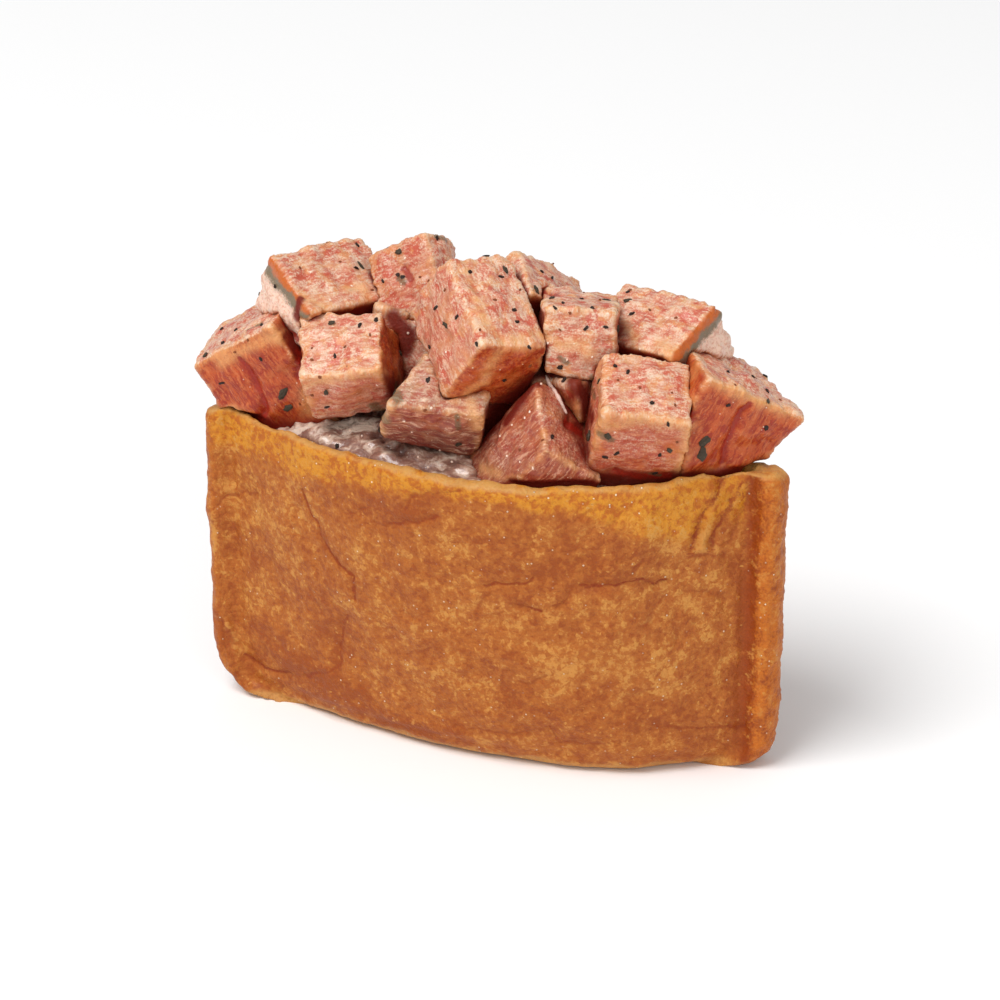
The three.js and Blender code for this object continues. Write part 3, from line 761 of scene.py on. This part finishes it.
class InariPouch(bpy.types.Operator):
    """Builds the tofu pouch with its puffs, blisters, cracks and sealed ends"""
    bl_idname = "inari.pouch"
    bl_label = "Pouch"

    def execute(self, context):
        settings = context.scene.inari_pouch
        surface = Surface(fine_mesh("tofu_pouch", settings.mesh_size, smoothing=4))
        noise = Noise(SEEDS["pouch"])
        place = surface.points - POUCH_MIDDLE
        x, y, z = place.T
        normals = surface.normals
        inner = smoothstep(0.2, 0.7, -normals[:, 1] * np.sign(y)) * smoothstep(3, 5, z)
        wall = smoothstep(0.1, 0.5, np.abs(normals[:, 1])) * (1 - inner)
        off_floor = smoothstep(0.0, 1.2, z)
        along = x * np.where(y < 0, 1, -1)
        crack, strength = self.cracks(along, z, noise, place)
        away = np.hypot(*crack.T)
        strength = strength * wall
        shade = self.shades(along, z, noise, place) * wall
        ridge = smoothstep(35, 36, x + 0.35 * noise.at(place, 3)) + 0.3 * smoothstep(37.6, 38.6, -x)
        outer = smoothstep(36.2, 38, np.abs(x))
        depth = POUCH_HEIGHT - z + 0.9 * noise.at(place, 3.5, 3)
        band = np.interp(along, *np.transpose(MOUTH_BAND))
        mouth = (1 - smoothstep(0.7, 1.15, depth / band)) * (1 - ridge)
        foot = (1 - smoothstep(0.9, 1.7, z + 0.5 * noise.at(place, 2.5))) * (1 - 0.6 * smoothstep(20, 36, x))
        top = smoothstep(0.3, 0.85, normals[:, 2]) * smoothstep(40, 41.5, z)
        rim = top * smoothstep(-0.6, 0.4, noise.at(place, 1.5) + 0.3)
        fold = np.exp(-((x - RIGHT_FOLD) / 0.6) ** 2) + 0.5 * np.exp(-((x - LEFT_FOLD) / 0.4) ** 2)
        fold *= smoothstep(2, 6, z) * (1 - smoothstep(38, 42, z))
        crease = np.exp(-((z - 2.5) / 0.8) ** 2) * (1 - 0.6 * smoothstep(-10, 10, x))
        heights = settings.puff / MM * (noise.at(place, 6, 2) + 0.5 * noise.at(place, 2.6))
        heights += settings.blister / MM * noise.at(place, 1.1, 2) * (1 + 0.8 * ridge)
        heights += 0.28 * shade * (1 - smoothstep(0.7, 3, away)) + 0.2 * np.clip(shade, 0, 1)
        heights -= settings.groove / MM * strength * np.exp(-(away / 0.42) ** 2)
        heights -= 0.4 * fold + 0.35 * crease
        surface.push(heights * off_floor * (1 - 0.7 * inner))
        lip = smoothstep(40.6, 42, z)
        surface.points[:, 2] += settings.ragged / MM * noise.at(place * (1, 0.5, 0), 3.3, 3) * lip
        surface.note("place", place)
        surface.note("crack", np.column_stack([crack, np.clip(away, 0, 3)]))
        surface.note("cracked", strength)
        # The third zone is the tone of the broad marks, darkened further as painted shade in the crease above
        # the foot and in the fold grooves.
        surface.note("zones", np.column_stack([np.clip(mouth + inner, 0, 1), np.clip(rim + 0.75 * foot, 0, 1),
                                               0.5 + 0.5 * shade - 0.12 * crease - 0.15 * fold]))
        surface.note("ends", np.column_stack([np.clip(ridge, 0, 1), outer, inner]))
        new_piece("tofu_skin", surface.done(), pouch_material(settings), "tofu_skin", "tofu_pouch")
        return {"FINISHED"}

    @staticmethod
    def cracks(along, z, noise, place):
        """The way to each vertex from its nearest crack, and how strong that crack is."""
        bent_x = along + 0.45 * noise.at(place, 1.7, 2)
        bent_z = z + 0.45 * noise.at(place + 50, 1.7, 2)
        nearest = np.full((len(z), 2), FAR)
        strength = np.zeros(len(z))
        for power, corners in CRACKS:
            offset = offset_from_line(bent_x, bent_z, corners)
            nearer = np.hypot(*offset.T) < np.hypot(*nearest.T)
            nearest[nearer] = offset[nearer]
            strength[nearer] = power
        return nearest, strength

    @staticmethod
    def shades(along, z, noise, place):
        """How much lighter or darker the broad marks make each vertex, from -1 to 1: painted shade in the
        fold grooves, painted highlights on the pleats, and other marks.
        """
        total = np.zeros(len(z))
        for lightness, width, corners in SHADES:
            bent_z = z + 0.3 * width * noise.at(place, 2 * width)
            away = np.hypot(*offset_from_line(along, bent_z, corners).T) / width
            total += lightness * np.exp(-away * away)
        return np.clip(total, -1, 1)


def salmon_material(settings):
    shader = Shader("salmon_flesh")
    grain = shader.attribute("grain", "Vector")
    red, edge, closed = shader.split(shader.attribute("flesh", "Vector"))
    vein, stain, ridge = shader.split(shader.attribute("marks", "Vector"))
    side, depth, mauve = shader.split(shader.attribute("skin", "Vector"))
    bent = shader.bent(grain, 1.1, 0.55)
    broad = shader.noise(bent, 3.2, 2)
    blotch = shader.noise(bent, 1.4, 4)
    streaks = shader.noise(shader.scaled(bent, (0.3, 1.0, 1.0)), 0.42, 4)
    fine = shader.noise(grain, 0.24, 3)
    _, chip = shader.cells(shader.scaled(bent, (0.6, 1.0, 1.0)), 0.55)
    mottle = broad * 0.3 + blotch * 0.3 + streaks * 0.25 + fine * 0.1 + chip * 0.05
    pink = shader.blend(mottle.between(0.41, 0.57), settings.rose, settings.pink)
    warm = shader.noise(shader.bent(grain, 0.9, 0.7), 1.9, 4)
    pink = shader.blend((warm + edge * 0.25).between(0.5, 0.66) * 0.5, pink, settings.gold_and_edge_glow)
    film = streaks * 0.35 + fine * 0.4 + blotch * 0.2 + chip * 0.05
    pink = shader.blend((film + edge * 0.07).between(0.46, 0.62) * 0.85, pink, settings.cream)
    lines = shader.noise(shader.scaled(bent, (0.16, 1.0, 1.0)), 0.36, 3)
    bloody = streaks * 0.45 + blotch * 0.3 + broad * 0.25
    sides = shader.blend(bloody.between(0.43, 0.56), settings.red, settings.orange)
    sides = shader.blend((lines * 0.7 + fine * 0.3).between(0.51, 0.62) * 0.5, sides, settings.tan)
    # Painted light and shade: the lit pink of the upward faces turns to the shaded orange red of the sides.
    painted_facing_shade = (red + (blotch - 0.5) * 0.5 + (broad - 0.5) * 0.6).between(0.25, 0.8)
    flesh = shader.blend(painted_facing_shade, pink, sides)
    dressed = shader.blend((streaks * 0.5 + blotch * 0.5).between(0.4, 0.6), settings.plum, settings.mauve)
    dressed = shader.blend((film * 0.4 + lines * 0.6).between(0.5, 0.62) * 0.65, dressed, settings.cream)
    flesh = shader.blend(mauve * (0.4 + blotch), flesh, dressed)
    # Painted glow: the edges lighten to gold, as light comes through the thin flesh.
    glow = (edge + (broad - 0.5) * 1.0 + (blotch - 0.5) * 0.6).between(0.1, 0.7)
    flesh = shader.blend(glow * (0.3 + painted_facing_shade * 0.25), flesh, settings.gold_and_edge_glow)
    # Painted highlights: a cream and gold rim of light along the sharp edges.
    painted_rim_light = (edge + (fine - 0.5) * 0.9 + (blotch - 0.5) * 0.9).between(0.4, 0.9)
    rim_light_colour = shader.blend(film.between(0.46, 0.6), settings.gold_and_edge_glow, settings.cream)
    flesh = shader.blend(painted_rim_light * 0.6, flesh, rim_light_colour)
    # Painted highlights: gold along the pale ridges.
    flesh = shader.blend(ridge * (0.2 + fine) * 0.8, flesh, settings.gold_and_edge_glow)
    layered = depth + (fine - 0.5) * 0.8 + (blotch - 0.5) * 1.4
    pinker = (lines * 0.6 + blotch * 0.4).between(0.46, 0.6) * 0.75
    white = shader.blend(pinker, settings.skin_white, settings.pink)
    layers = shader.blend(layered.between(0.7, 1.4), settings.skin_orange, settings.skin_grey)
    layers = shader.blend((layered + (streaks - 0.5) * 1.2).between(1.9, 2.9), layers, white)
    flesh = shader.blend(side, flesh, layers)
    # Painted shade: the flesh darkens to deep red where the cubes close each other in.
    flesh = shader.blend((closed + (blotch - 0.5) * 0.3).between(0.25, 0.85) * 0.95, flesh, settings.deep)
    veins = (vein + (fine - 0.5) * 0.8 + (streaks - 0.5) * 1.6).between(0.25, 0.75)
    flesh = shader.blend(veins * 0.85, flesh, settings.vein)
    flesh = shader.blend((stain + (fine - 0.5) * 0.8).between(0.35, 0.85) * 0.7, flesh, settings.olive)
    specks = shader.dots(grain, 0.95, 0.13, 0.17) * fine.between(0.4, 0.5)
    flesh = shader.blend(specks * 0.7, flesh, settings.speck)
    # Painted highlights: tiny cream glints of light on the wet flesh, in clusters.
    clusters = (shader.noise(grain, 2.4, 2) + mauve * 0.08).between(0.48, 0.6)
    painted_glints = shader.dots(grain, 0.62, 0.3, 0.2) * clusters * (1 - closed)
    flesh = shader.blend(painted_glints * 0.8, flesh, settings.cream)
    tiny = shader.noise(grain, 0.16, 2)
    height = streaks * 0.6 + fine * 0.5 + tiny * 0.3 + blotch * 0.5
    rough = 0.34 + fine * 0.25 - clusters * 0.06 + closed * 0.2
    return shader.finish(Base_Color=flesh, Roughness=rough, Normal=shader.bump(height, 0.2 * MM),
                         Specular_IOR_Level=0.3, Coat_Weight=0.3 - closed * 0.3, Coat_Roughness=0.1,
                         Subsurface_Weight=0.12, Subsurface_Radius=(1.0, 0.3, 0.15),
                         Subsurface_Scale=1.3 * MM)


class InariSalmon(bpy.types.Operator):
    """Builds the salmon cubes with their fibres, ragged edges and dressing film"""
    bl_idname = "inari.salmon"
    bl_label = "Salmon cubes"

    # Over how many rounds of smoothing the edges are found, how far the sharp ones then stand out, in mm, and
    # how far apart the cubes lie in the space of the shader's noise.
    EDGE_ROUNDS = 40
    EDGE_HEIGHT = 0.75
    GRAIN_SHIFT = 31.7

    def execute(self, context):
        settings = context.scene.inari_salmon
        material = salmon_material(settings)
        everything = whole_tree()
        for seed, (node, cube) in enumerate(CUBES.items()):
            surface = Surface(fine_mesh(node, settings.mesh_size, smoothing=2))
            noise = Noise(SEEDS["cubes"] + seed)
            turn = turn_of(cube)
            local = (surface.points - POUCH_MIDDLE - cube["at"]) @ turn
            grain = local[:, [(cube["grain"] + step) % 3 for step in range(3)]]
            facing = surface.averaged(surface.normals, 6)
            facing /= np.linalg.norm(facing, axis=1, keepdims=True)
            edge = np.clip(surface.sharpness(self.EDGE_ROUNDS) / self.EDGE_HEIGHT, 0, 1)
            closed = shelter(surface, whole_tree(node), reach=5, rays=6, seed=seed)
            red, side = self.painted_facing_shade(cube, facing, facing @ turn)
            depth = cube.get("skin_depth", 0) - local[:, 2] + 0.3 * noise.at(local, 3)
            low = 1 - smoothstep(44, 51, surface.points[:, 2])
            mauve = cube.get("mauve", 0) * (0.55 + 0.45 * low)
            # The listed dark gaps add to the painted shade of the closed in flesh.
            closed = np.maximum(closed, marked(surface.points, CREVICE_SHADE, everything))
            marks = [marked(surface.points, lines, everything)
                     for lines in (RED_VEINS, GREEN_STAINS, PAINTED_RIDGE_LIGHT)]
            along = grain * (0.3, 1, 1)
            free = 1 - 0.9 * smoothstep(0.35, 0.8, closed)
            heights = settings.dent / MM * (noise.at(grain, 3.6, 2) + 0.35 * noise.at(grain, 1.3))
            heights += settings.fibre / MM * (noise.at(along, 0.9, 2) + noise.at(along, 2))
            heights += settings.rag / MM * edge * noise.at(grain, 1.5, 2)
            heights -= 0.5 * marks[0]
            surface.push(settings.swell / MM + heights * free)
            surface.note("grain", grain + self.GRAIN_SHIFT * seed)
            surface.note("flesh", np.column_stack([red, edge, closed]))
            surface.note("marks", np.column_stack(marks))
            surface.note("skin", np.column_stack([side, depth, mauve]))
            new_piece(node.replace("salmon", "flesh"), surface.done(), material, "salmon", node)
        return {"FINISHED"}

    @staticmethod
    def painted_facing_shade(cube, facing, own):
        """How red each vertex is, by the way it faces and the face it is on, and how far it is skin side. The
        redness is painted light and shade: faces that look up are pale as lit, the sides and undersides red
        as in shade.
        """
        red = 0.25 + 0.65 * (1 - smoothstep(-0.35, 0.45, facing[:, 2]))
        for face, value in cube.get("faces", {}).items():
            on_face = smoothstep(0.55, 0.85, own @ np.array(AXES[face]))
            red = red * (1 - on_face) + value * on_face
        side = own @ np.array(AXES[cube["skin_side"]]) if "skin_side" in cube else np.full(len(own), -1)
        return red, smoothstep(0.5, 0.75, side)


def turn_of(cube):
    """The cube's turn in the heap, as a matrix."""
    return np.array(Euler([math.radians(angle) for angle in cube["turn"]], "ZYX").to_matrix())


def filling_material(settings):
    shader = Shader("dressed_filling")
    grain = shader.attribute("grain", "Vector")
    cream, dark, closed = shader.split(shader.attribute("marks", "Vector"))
    bent = shader.bent(grain, 1.8, 1.6)
    swirl = shader.noise(shader.scaled(bent, (0.5, 0.8, 1.2)), 1.1, 4)
    fine = shader.noise(grain, 0.4, 3)
    streaks = shader.noise(shader.scaled(bent, (0.25, 0.9, 1.0)), 0.6, 4)
    tone = swirl * 0.5 + streaks * 0.35 + fine * 0.15
    mix = shader.blend(tone.between(0.42, 0.56), settings.plum, settings.flesh)
    mix = shader.blend((tone + cream * 0.16).between(0.49, 0.62) * 0.9, mix, settings.cream)
    # Painted shade: the filling darkens where it is closed in and along the dark gap.
    mix = shader.blend(closed.between(0.6, 1.2) * 0.7, mix, settings.deep)
    mix = shader.blend(dark * (0.4 + streaks), mix, settings.deep)
    # Painted highlights: tiny cream glints on the glossy filling.
    painted_glints = shader.dots(grain, 0.55, 0.25, 0.2)
    mix = shader.blend(painted_glints * 0.6, mix, settings.cream)
    height = swirl + streaks * 0.6 + fine * 0.4
    return shader.finish(Base_Color=mix, Roughness=0.22 + fine * 0.2, Normal=shader.bump(height, 0.25 * MM),
                         Coat_Weight=0.7, Coat_Roughness=0.1, Subsurface_Weight=0.1,
                         Subsurface_Radius=(1.0, 0.5, 0.3), Subsurface_Scale=1.2 * MM)


class InariFilling(bpy.types.Operator):
    """Builds the creamy dressed filling that shows at the mouth"""
    bl_idname = "inari.filling"
    bl_label = "Filling"

    # Where the photo shows cream and a dark gap on the filling, by its pixels: how wide in mm, then the way.
    CREAM = ((1.1, ((300, 430), (340, 430), (370, 426))), (0.7, ((320, 446), (345, 452))))
    # The dark gap is painted shadow between the lumps; the surface also dips there.
    GAP_SHADOW = ((1.0, ((378, 440), (402, 452))),)

    def execute(self, context):
        settings = context.scene.inari_filling
        surface = Surface(fine_mesh("filling", settings.mesh_size, smoothing=3))
        noise = Noise(SEEDS["filling"])
        everything = whole_tree()
        place = surface.points - POUCH_MIDDLE
        top = smoothstep(36, 39, place[:, 2])
        cream = marked(surface.points, self.CREAM, everything)
        gap_shadow = marked(surface.points, self.GAP_SHADOW, everything)
        closed = shelter(surface, whole_tree("filling"), reach=5, rays=4, seed=SEEDS["filling_rays"])
        heights = 0.3 + settings.lump / MM * noise.at(place * (0.6, 1.1, 1), 2.4, 3) + 0.4 * cream - 0.8 * gap_shadow
        surface.push(heights * top + 0.15)
        surface.note("grain", place)
        surface.note("marks", np.column_stack([cream, gap_shadow, closed]))
        material = filling_material(settings)
        new_piece("dressed_filling", surface.done(), material, "dressed_filling", "filling")
        return {"FINISHED"}


class InariFlakes(bpy.types.Operator):
    """Scatters pepper, herb, spice and pale beads of dressing over the salmon; the beads stand in for glints
    of light on the wet flesh, painted highlights
    """
    bl_idname = "inari.flakes"
    bl_label = "Pepper and herbs"

    # For each kind: its half length, half width and half height in mm.
    SIZES = {"pepper": (0.38, 0.23, 0.14), "herb": (0.8, 0.5, 0.17), "spice": (0.24, 0.17, 0.1),
             "drops": (0.17, 0.13, 0.09), "flat": (0.55, 0.34, 0.15)}
    # How many of each kind lie on the hidden side, as a share of the setting.
    HIDDEN = {"pepper": 0.5, "herb": 0.15, "spice": 0.7, "drops": 0.3}
    # Flesh less closed in than this takes flakes on the hidden side, if it faces away from the camera.
    OPEN_BELOW = 0.45
    FACING_BELOW = 0.1
    # The large flakes that the rule puts on each cube, and the turn from one to the next.
    RULE_FLAKES = 4
    RULE_STEP = 2.3

    def execute(self, context):
        settings = context.scene.inari_flakes
        graph = context.evaluated_depsgraph_get()
        pieces = {node: bpy.data.objects[node.replace("salmon", "flesh")] for node in CUBES}
        trees = {node: BVHTree.FromObject(piece, graph) for node, piece in pieces.items()}
        shown = [*trees.values(), BVHTree.FromObject(bpy.data.objects["dressed_filling"], graph)]
        spots = {"pepper": PEPPER_SPOTS, "herb": LARGE_FLAKES, "spice": SPICE_SPOTS, "drops": GLINT_DROPS}
        for seed, kind in enumerate(spots):
            chance = np.random.default_rng(SEEDS["flakes"] + seed)
            places = [seen_at(shown, *spot) for spot in spots[kind]]
            places += self.hidden_places(pieces, settings.per_cube * self.HIDDEN[kind], chance)
            grains = [(*found, self.SIZES[kind]) for found in places]
            if kind == "herb":
                grains += [(*found, self.SIZES["flat"]) for found in self.rule_places(trees)]
            cloud = bmesh.new()
            for place, normal, sizes in grains:
                if place is not None:
                    self.add_flake(cloud, place, normal, sizes, chance)
            mesh = bpy.data.meshes.new(kind)
            cloud.to_mesh(mesh)
            cloud.free()
            name = kind + "_flakes" if kind != "drops" else "dressing_drops"
            new_piece(name, mesh, self.material(kind, getattr(settings, kind)), "salmon")
        return {"FINISHED"}

    def rule_places(self, trees):
        """Where the large flakes that the solids show stick to each cube."""
        places = []
        for seed, (node, cube) in enumerate(CUBES.items(), 1):
            for number in range(self.RULE_FLAKES):
                height = 1 - (2 * number + 1) / self.RULE_FLAKES
                angle = number * self.RULE_STEP + seed
                flat = math.sqrt(1 - height * height)
                direction = turn_of(cube) @ (flat * math.cos(angle), flat * math.sin(angle), height)
                start = Vector((POUCH_MIDDLE + cube["at"]) * MM)
                places.append(trees[node].ray_cast(start, Vector(direction))[:2])
        return places

    def hidden_places(self, pieces, amount, chance):
        """Random places on the open flesh that the photo doesn't show."""
        places = []
        back = Vector(camera_axes()[2])
        for piece in pieces.values():
            closed = Surface.read(piece.data.attributes["flesh"].data, "vector").reshape(-1, 3)[:, 2]
            free = [index for index in np.flatnonzero(closed < self.OPEN_BELOW)
                    if piece.data.vertices[int(index)].normal.dot(back) < self.FACING_BELOW]
            for index in chance.choice(free, int(amount)):
                vertex = piece.data.vertices[int(index)]
                places.append((vertex.co, vertex.normal))
        return places

    @staticmethod
    def add_flake(cloud, place, normal, sizes, chance):
        """One angular grain that lies on the flesh."""
        spin = Matrix.Rotation(chance.uniform(0, math.tau), 4, "Z")
        facing = Vector((0, 0, 1)).rotation_difference(normal).to_matrix().to_4x4()
        scale = Matrix.Diagonal((*[side * chance.uniform(0.75, 1.25) * MM for side in sizes], 1))
        lift = Matrix.Translation(place + normal * sizes[2] * 0.35 * MM)
        made = bmesh.ops.create_icosphere(cloud, subdivisions=2, radius=1,
                                          matrix=lift @ facing @ spin @ scale)
        for corner in made["verts"]:
            corner.co += (corner.co - place) * chance.uniform(-0.3, 0.3)

    @staticmethod
    def material(kind, main):
        shader = Shader(kind)
        place = shader.add("ShaderNodeTexCoord", {}, {}, "Object")
        mottle = shader.noise(place, 0.3 * MM, 3)
        light = tuple(min(1.0, value * 1.7 + 0.008) for value in main)
        tint = shader.blend(mottle.between(0.5, 0.8), tuple(main), light)
        return shader.finish(Base_Color=tint, Roughness=0.5 + mottle * 0.2,
                             Normal=shader.bump(mottle, 0.06 * MM), Specular_IOR_Level=0.3,
                             Coat_Weight=0.06, Coat_Roughness=0.2)


class InariStrand(bpy.types.Operator):
    """Lays the thin strand of dressing over the fish at the front"""
    bl_idname = "inari.strand"
    bl_label = "Strand of dressing"

    # Its corners round, its rings along, its radius in mm, how often its way is evened out, and its colour.
    SIDES = 8
    RINGS = 24
    RADIUS = 0.26
    ROUNDS = 4
    COLOUR = (0.72, 0.5, 0.42)

    def execute(self, context):
        graph = context.evaluated_depsgraph_get()
        pieces = [bpy.data.objects[node.replace("salmon", "flesh")] for node in CUBES]
        trees = [BVHTree.FromObject(piece, graph) for piece in pieces]
        corners = np.array(STRAND, float)
        shares = np.linspace(0, len(corners) - 1, self.RINGS)
        pixels = [[np.interp(share, range(len(corners)), column) for column in corners.T] for share in shares]
        found = [seen_at(trees, *pixel) for pixel in pixels]
        middles = [place + normal * 0.1 * MM for place, normal in found]
        for _ in range(self.ROUNDS):
            evened = [(a + b * 2 + c) / 4 for a, b, c in zip(middles, middles[1:], middles[2:])]
            middles = [middles[0], *evened, middles[-1]]
        chance = np.random.default_rng(SEEDS["strand"])
        tube = bmesh.new()
        rings = []
        for number, middle in enumerate(middles):
            ahead = middles[min(number + 1, self.RINGS - 1)] - middles[max(number - 1, 0)]
            turn = Vector((0, 0, 1)).rotation_difference(ahead).to_matrix()
            taper = math.sin(math.pi * (number + 1) / (self.RINGS + 1)) ** 0.4
            radius = self.RADIUS * MM * chance.uniform(0.75, 1.2) * taper
            spokes = [math.tau * side / self.SIDES for side in range(self.SIDES)]
            spokes = [Vector((math.cos(angle), math.sin(angle), 0)) * radius for angle in spokes]
            rings.append([tube.verts.new(middle + turn @ spoke) for spoke in spokes])
        for ring, after in zip(rings, rings[1:]):
            for side in range(self.SIDES):
                following = (side + 1) % self.SIDES
                tube.faces.new((ring[side], ring[following], after[following], after[side]))
        tube.faces.new(rings[0][::-1])
        tube.faces.new(rings[-1])
        mesh = bpy.data.meshes.new("strand")
        tube.to_mesh(mesh)
        tube.free()
        mesh.shade_smooth()
        new_piece("dressing_strand", mesh, InariFlakes.material("dressing", self.COLOUR), "salmon")
        return {"FINISHED"}


class InariStage(bpy.types.Operator):
    """Sets the pale floor, the soft lights and the camera"""
    bl_idname = "inari.stage"
    bl_label = "Stage"

    def execute(self, context):
        settings = context.scene.inari_stage
        self.add_floor(settings)
        self.add_light("key", (-0.55, -0.85, 1.75), 1.1, settings.key)
        self.add_light("fill", (1.1, -1.3, 0.7), 1.2, settings.fill)
        self.add_camera(context)
        world = bpy.data.worlds.new("sky")
        world.use_nodes = True
        world.node_tree.nodes["Background"].inputs["Color"].default_value = (1, 1, 1, 1)
        world.node_tree.nodes["Background"].inputs["Strength"].default_value = settings.sky
        context.scene.world = world
        context.scene.view_settings.view_transform = "Standard"
        return {"FINISHED"}

    @staticmethod
    def add_floor(settings):
        mesh = bpy.data.meshes.new("floor")
        plane = bmesh.new()
        bmesh.ops.create_grid(plane, x_segments=1, y_segments=1, size=3)
        plane.to_mesh(mesh)
        plane.free()
        floor = bpy.data.objects.new("floor", mesh)
        bpy.context.collection.objects.link(floor)
        shader = Shader("floor")
        mesh.materials.append(shader.finish(Base_Color=(*settings.floor, 1), Roughness=0.8))

    @staticmethod
    def add_light(name, place, size, power):
        light = bpy.data.lights.new(name, "AREA")
        light.size = size
        light.energy = power
        lamp = bpy.data.objects.new(name, light)
        bpy.context.collection.objects.link(lamp)
        lamp.location = place
        lamp.rotation_euler = (Vector((0, 0, 0.03)) - lamp.location).to_track_quat("-Z", "Y").to_euler()

    @staticmethod
    def add_camera(context):
        camera = bpy.data.cameras.new("camera")
        camera.lens = CAMERA["lens"]
        camera.sensor_width = CAMERA["sensor"]
        camera.shift_x, camera.shift_y = CAMERA_SHIFT
        camera.clip_start = 0.02
        view = bpy.data.objects.new("camera", camera)
        bpy.context.collection.objects.link(view)
        view.location = Vector(camera_place() * MM)
        view.rotation_euler = Vector(-camera_axes()[2]).to_track_quat("-Z", "Y").to_euler()
        context.scene.camera = view


class InariPanel(bpy.types.Panel):
    """Lists the steps that build the sushi and the settings of each"""
    bl_idname = "VIEW3D_PT_inari"
    bl_label = "Inari Sushi"
    bl_space_type = "VIEW_3D"
    bl_region_type = "UI"
    bl_category = "Inari"

    def draw(self, context):
        for operator, name in STEPS.items():
            box = self.layout.box()
            box.operator(operator.bl_idname)
            settings = getattr(context.scene, name)
            for key in settings.bl_rna.properties.keys():
                if key not in {"rna_type", "name"}:
                    box.prop(settings, key)


STEPS = {
    InariPouch: "inari_pouch",
    InariFilling: "inari_filling",
    InariSalmon: "inari_salmon",
    InariFlakes: "inari_flakes",
    InariStrand: "inari_flakes",
    InariStage: "inari_stage",
}
SETTINGS = {
    "inari_pouch": PouchSettings,
    "inari_filling": FillingSettings,
    "inari_salmon": SalmonSettings,
    "inari_flakes": FlakeSettings,
    "inari_stage": StageSettings,
}
CLASSES = (*SETTINGS.values(), *STEPS, InariPanel)


def register():
    for kind in CLASSES:
        bpy.utils.register_class(kind)
    for name, kind in SETTINGS.items():
        setattr(bpy.types.Scene, name, PointerProperty(type=kind))


def unregister():
    for name in SETTINGS:
        delattr(bpy.types.Scene, name)
    for kind in reversed(CLASSES):
        bpy.utils.unregister_class(kind)


def main():
    register()
    bpy.ops.inari.pouch()
    bpy.ops.inari.filling()
    bpy.ops.inari.salmon()
    bpy.ops.inari.flakes()
    bpy.ops.inari.strand()
    bpy.ops.inari.stage()
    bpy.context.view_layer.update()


if __name__ == "__main__":
    main()
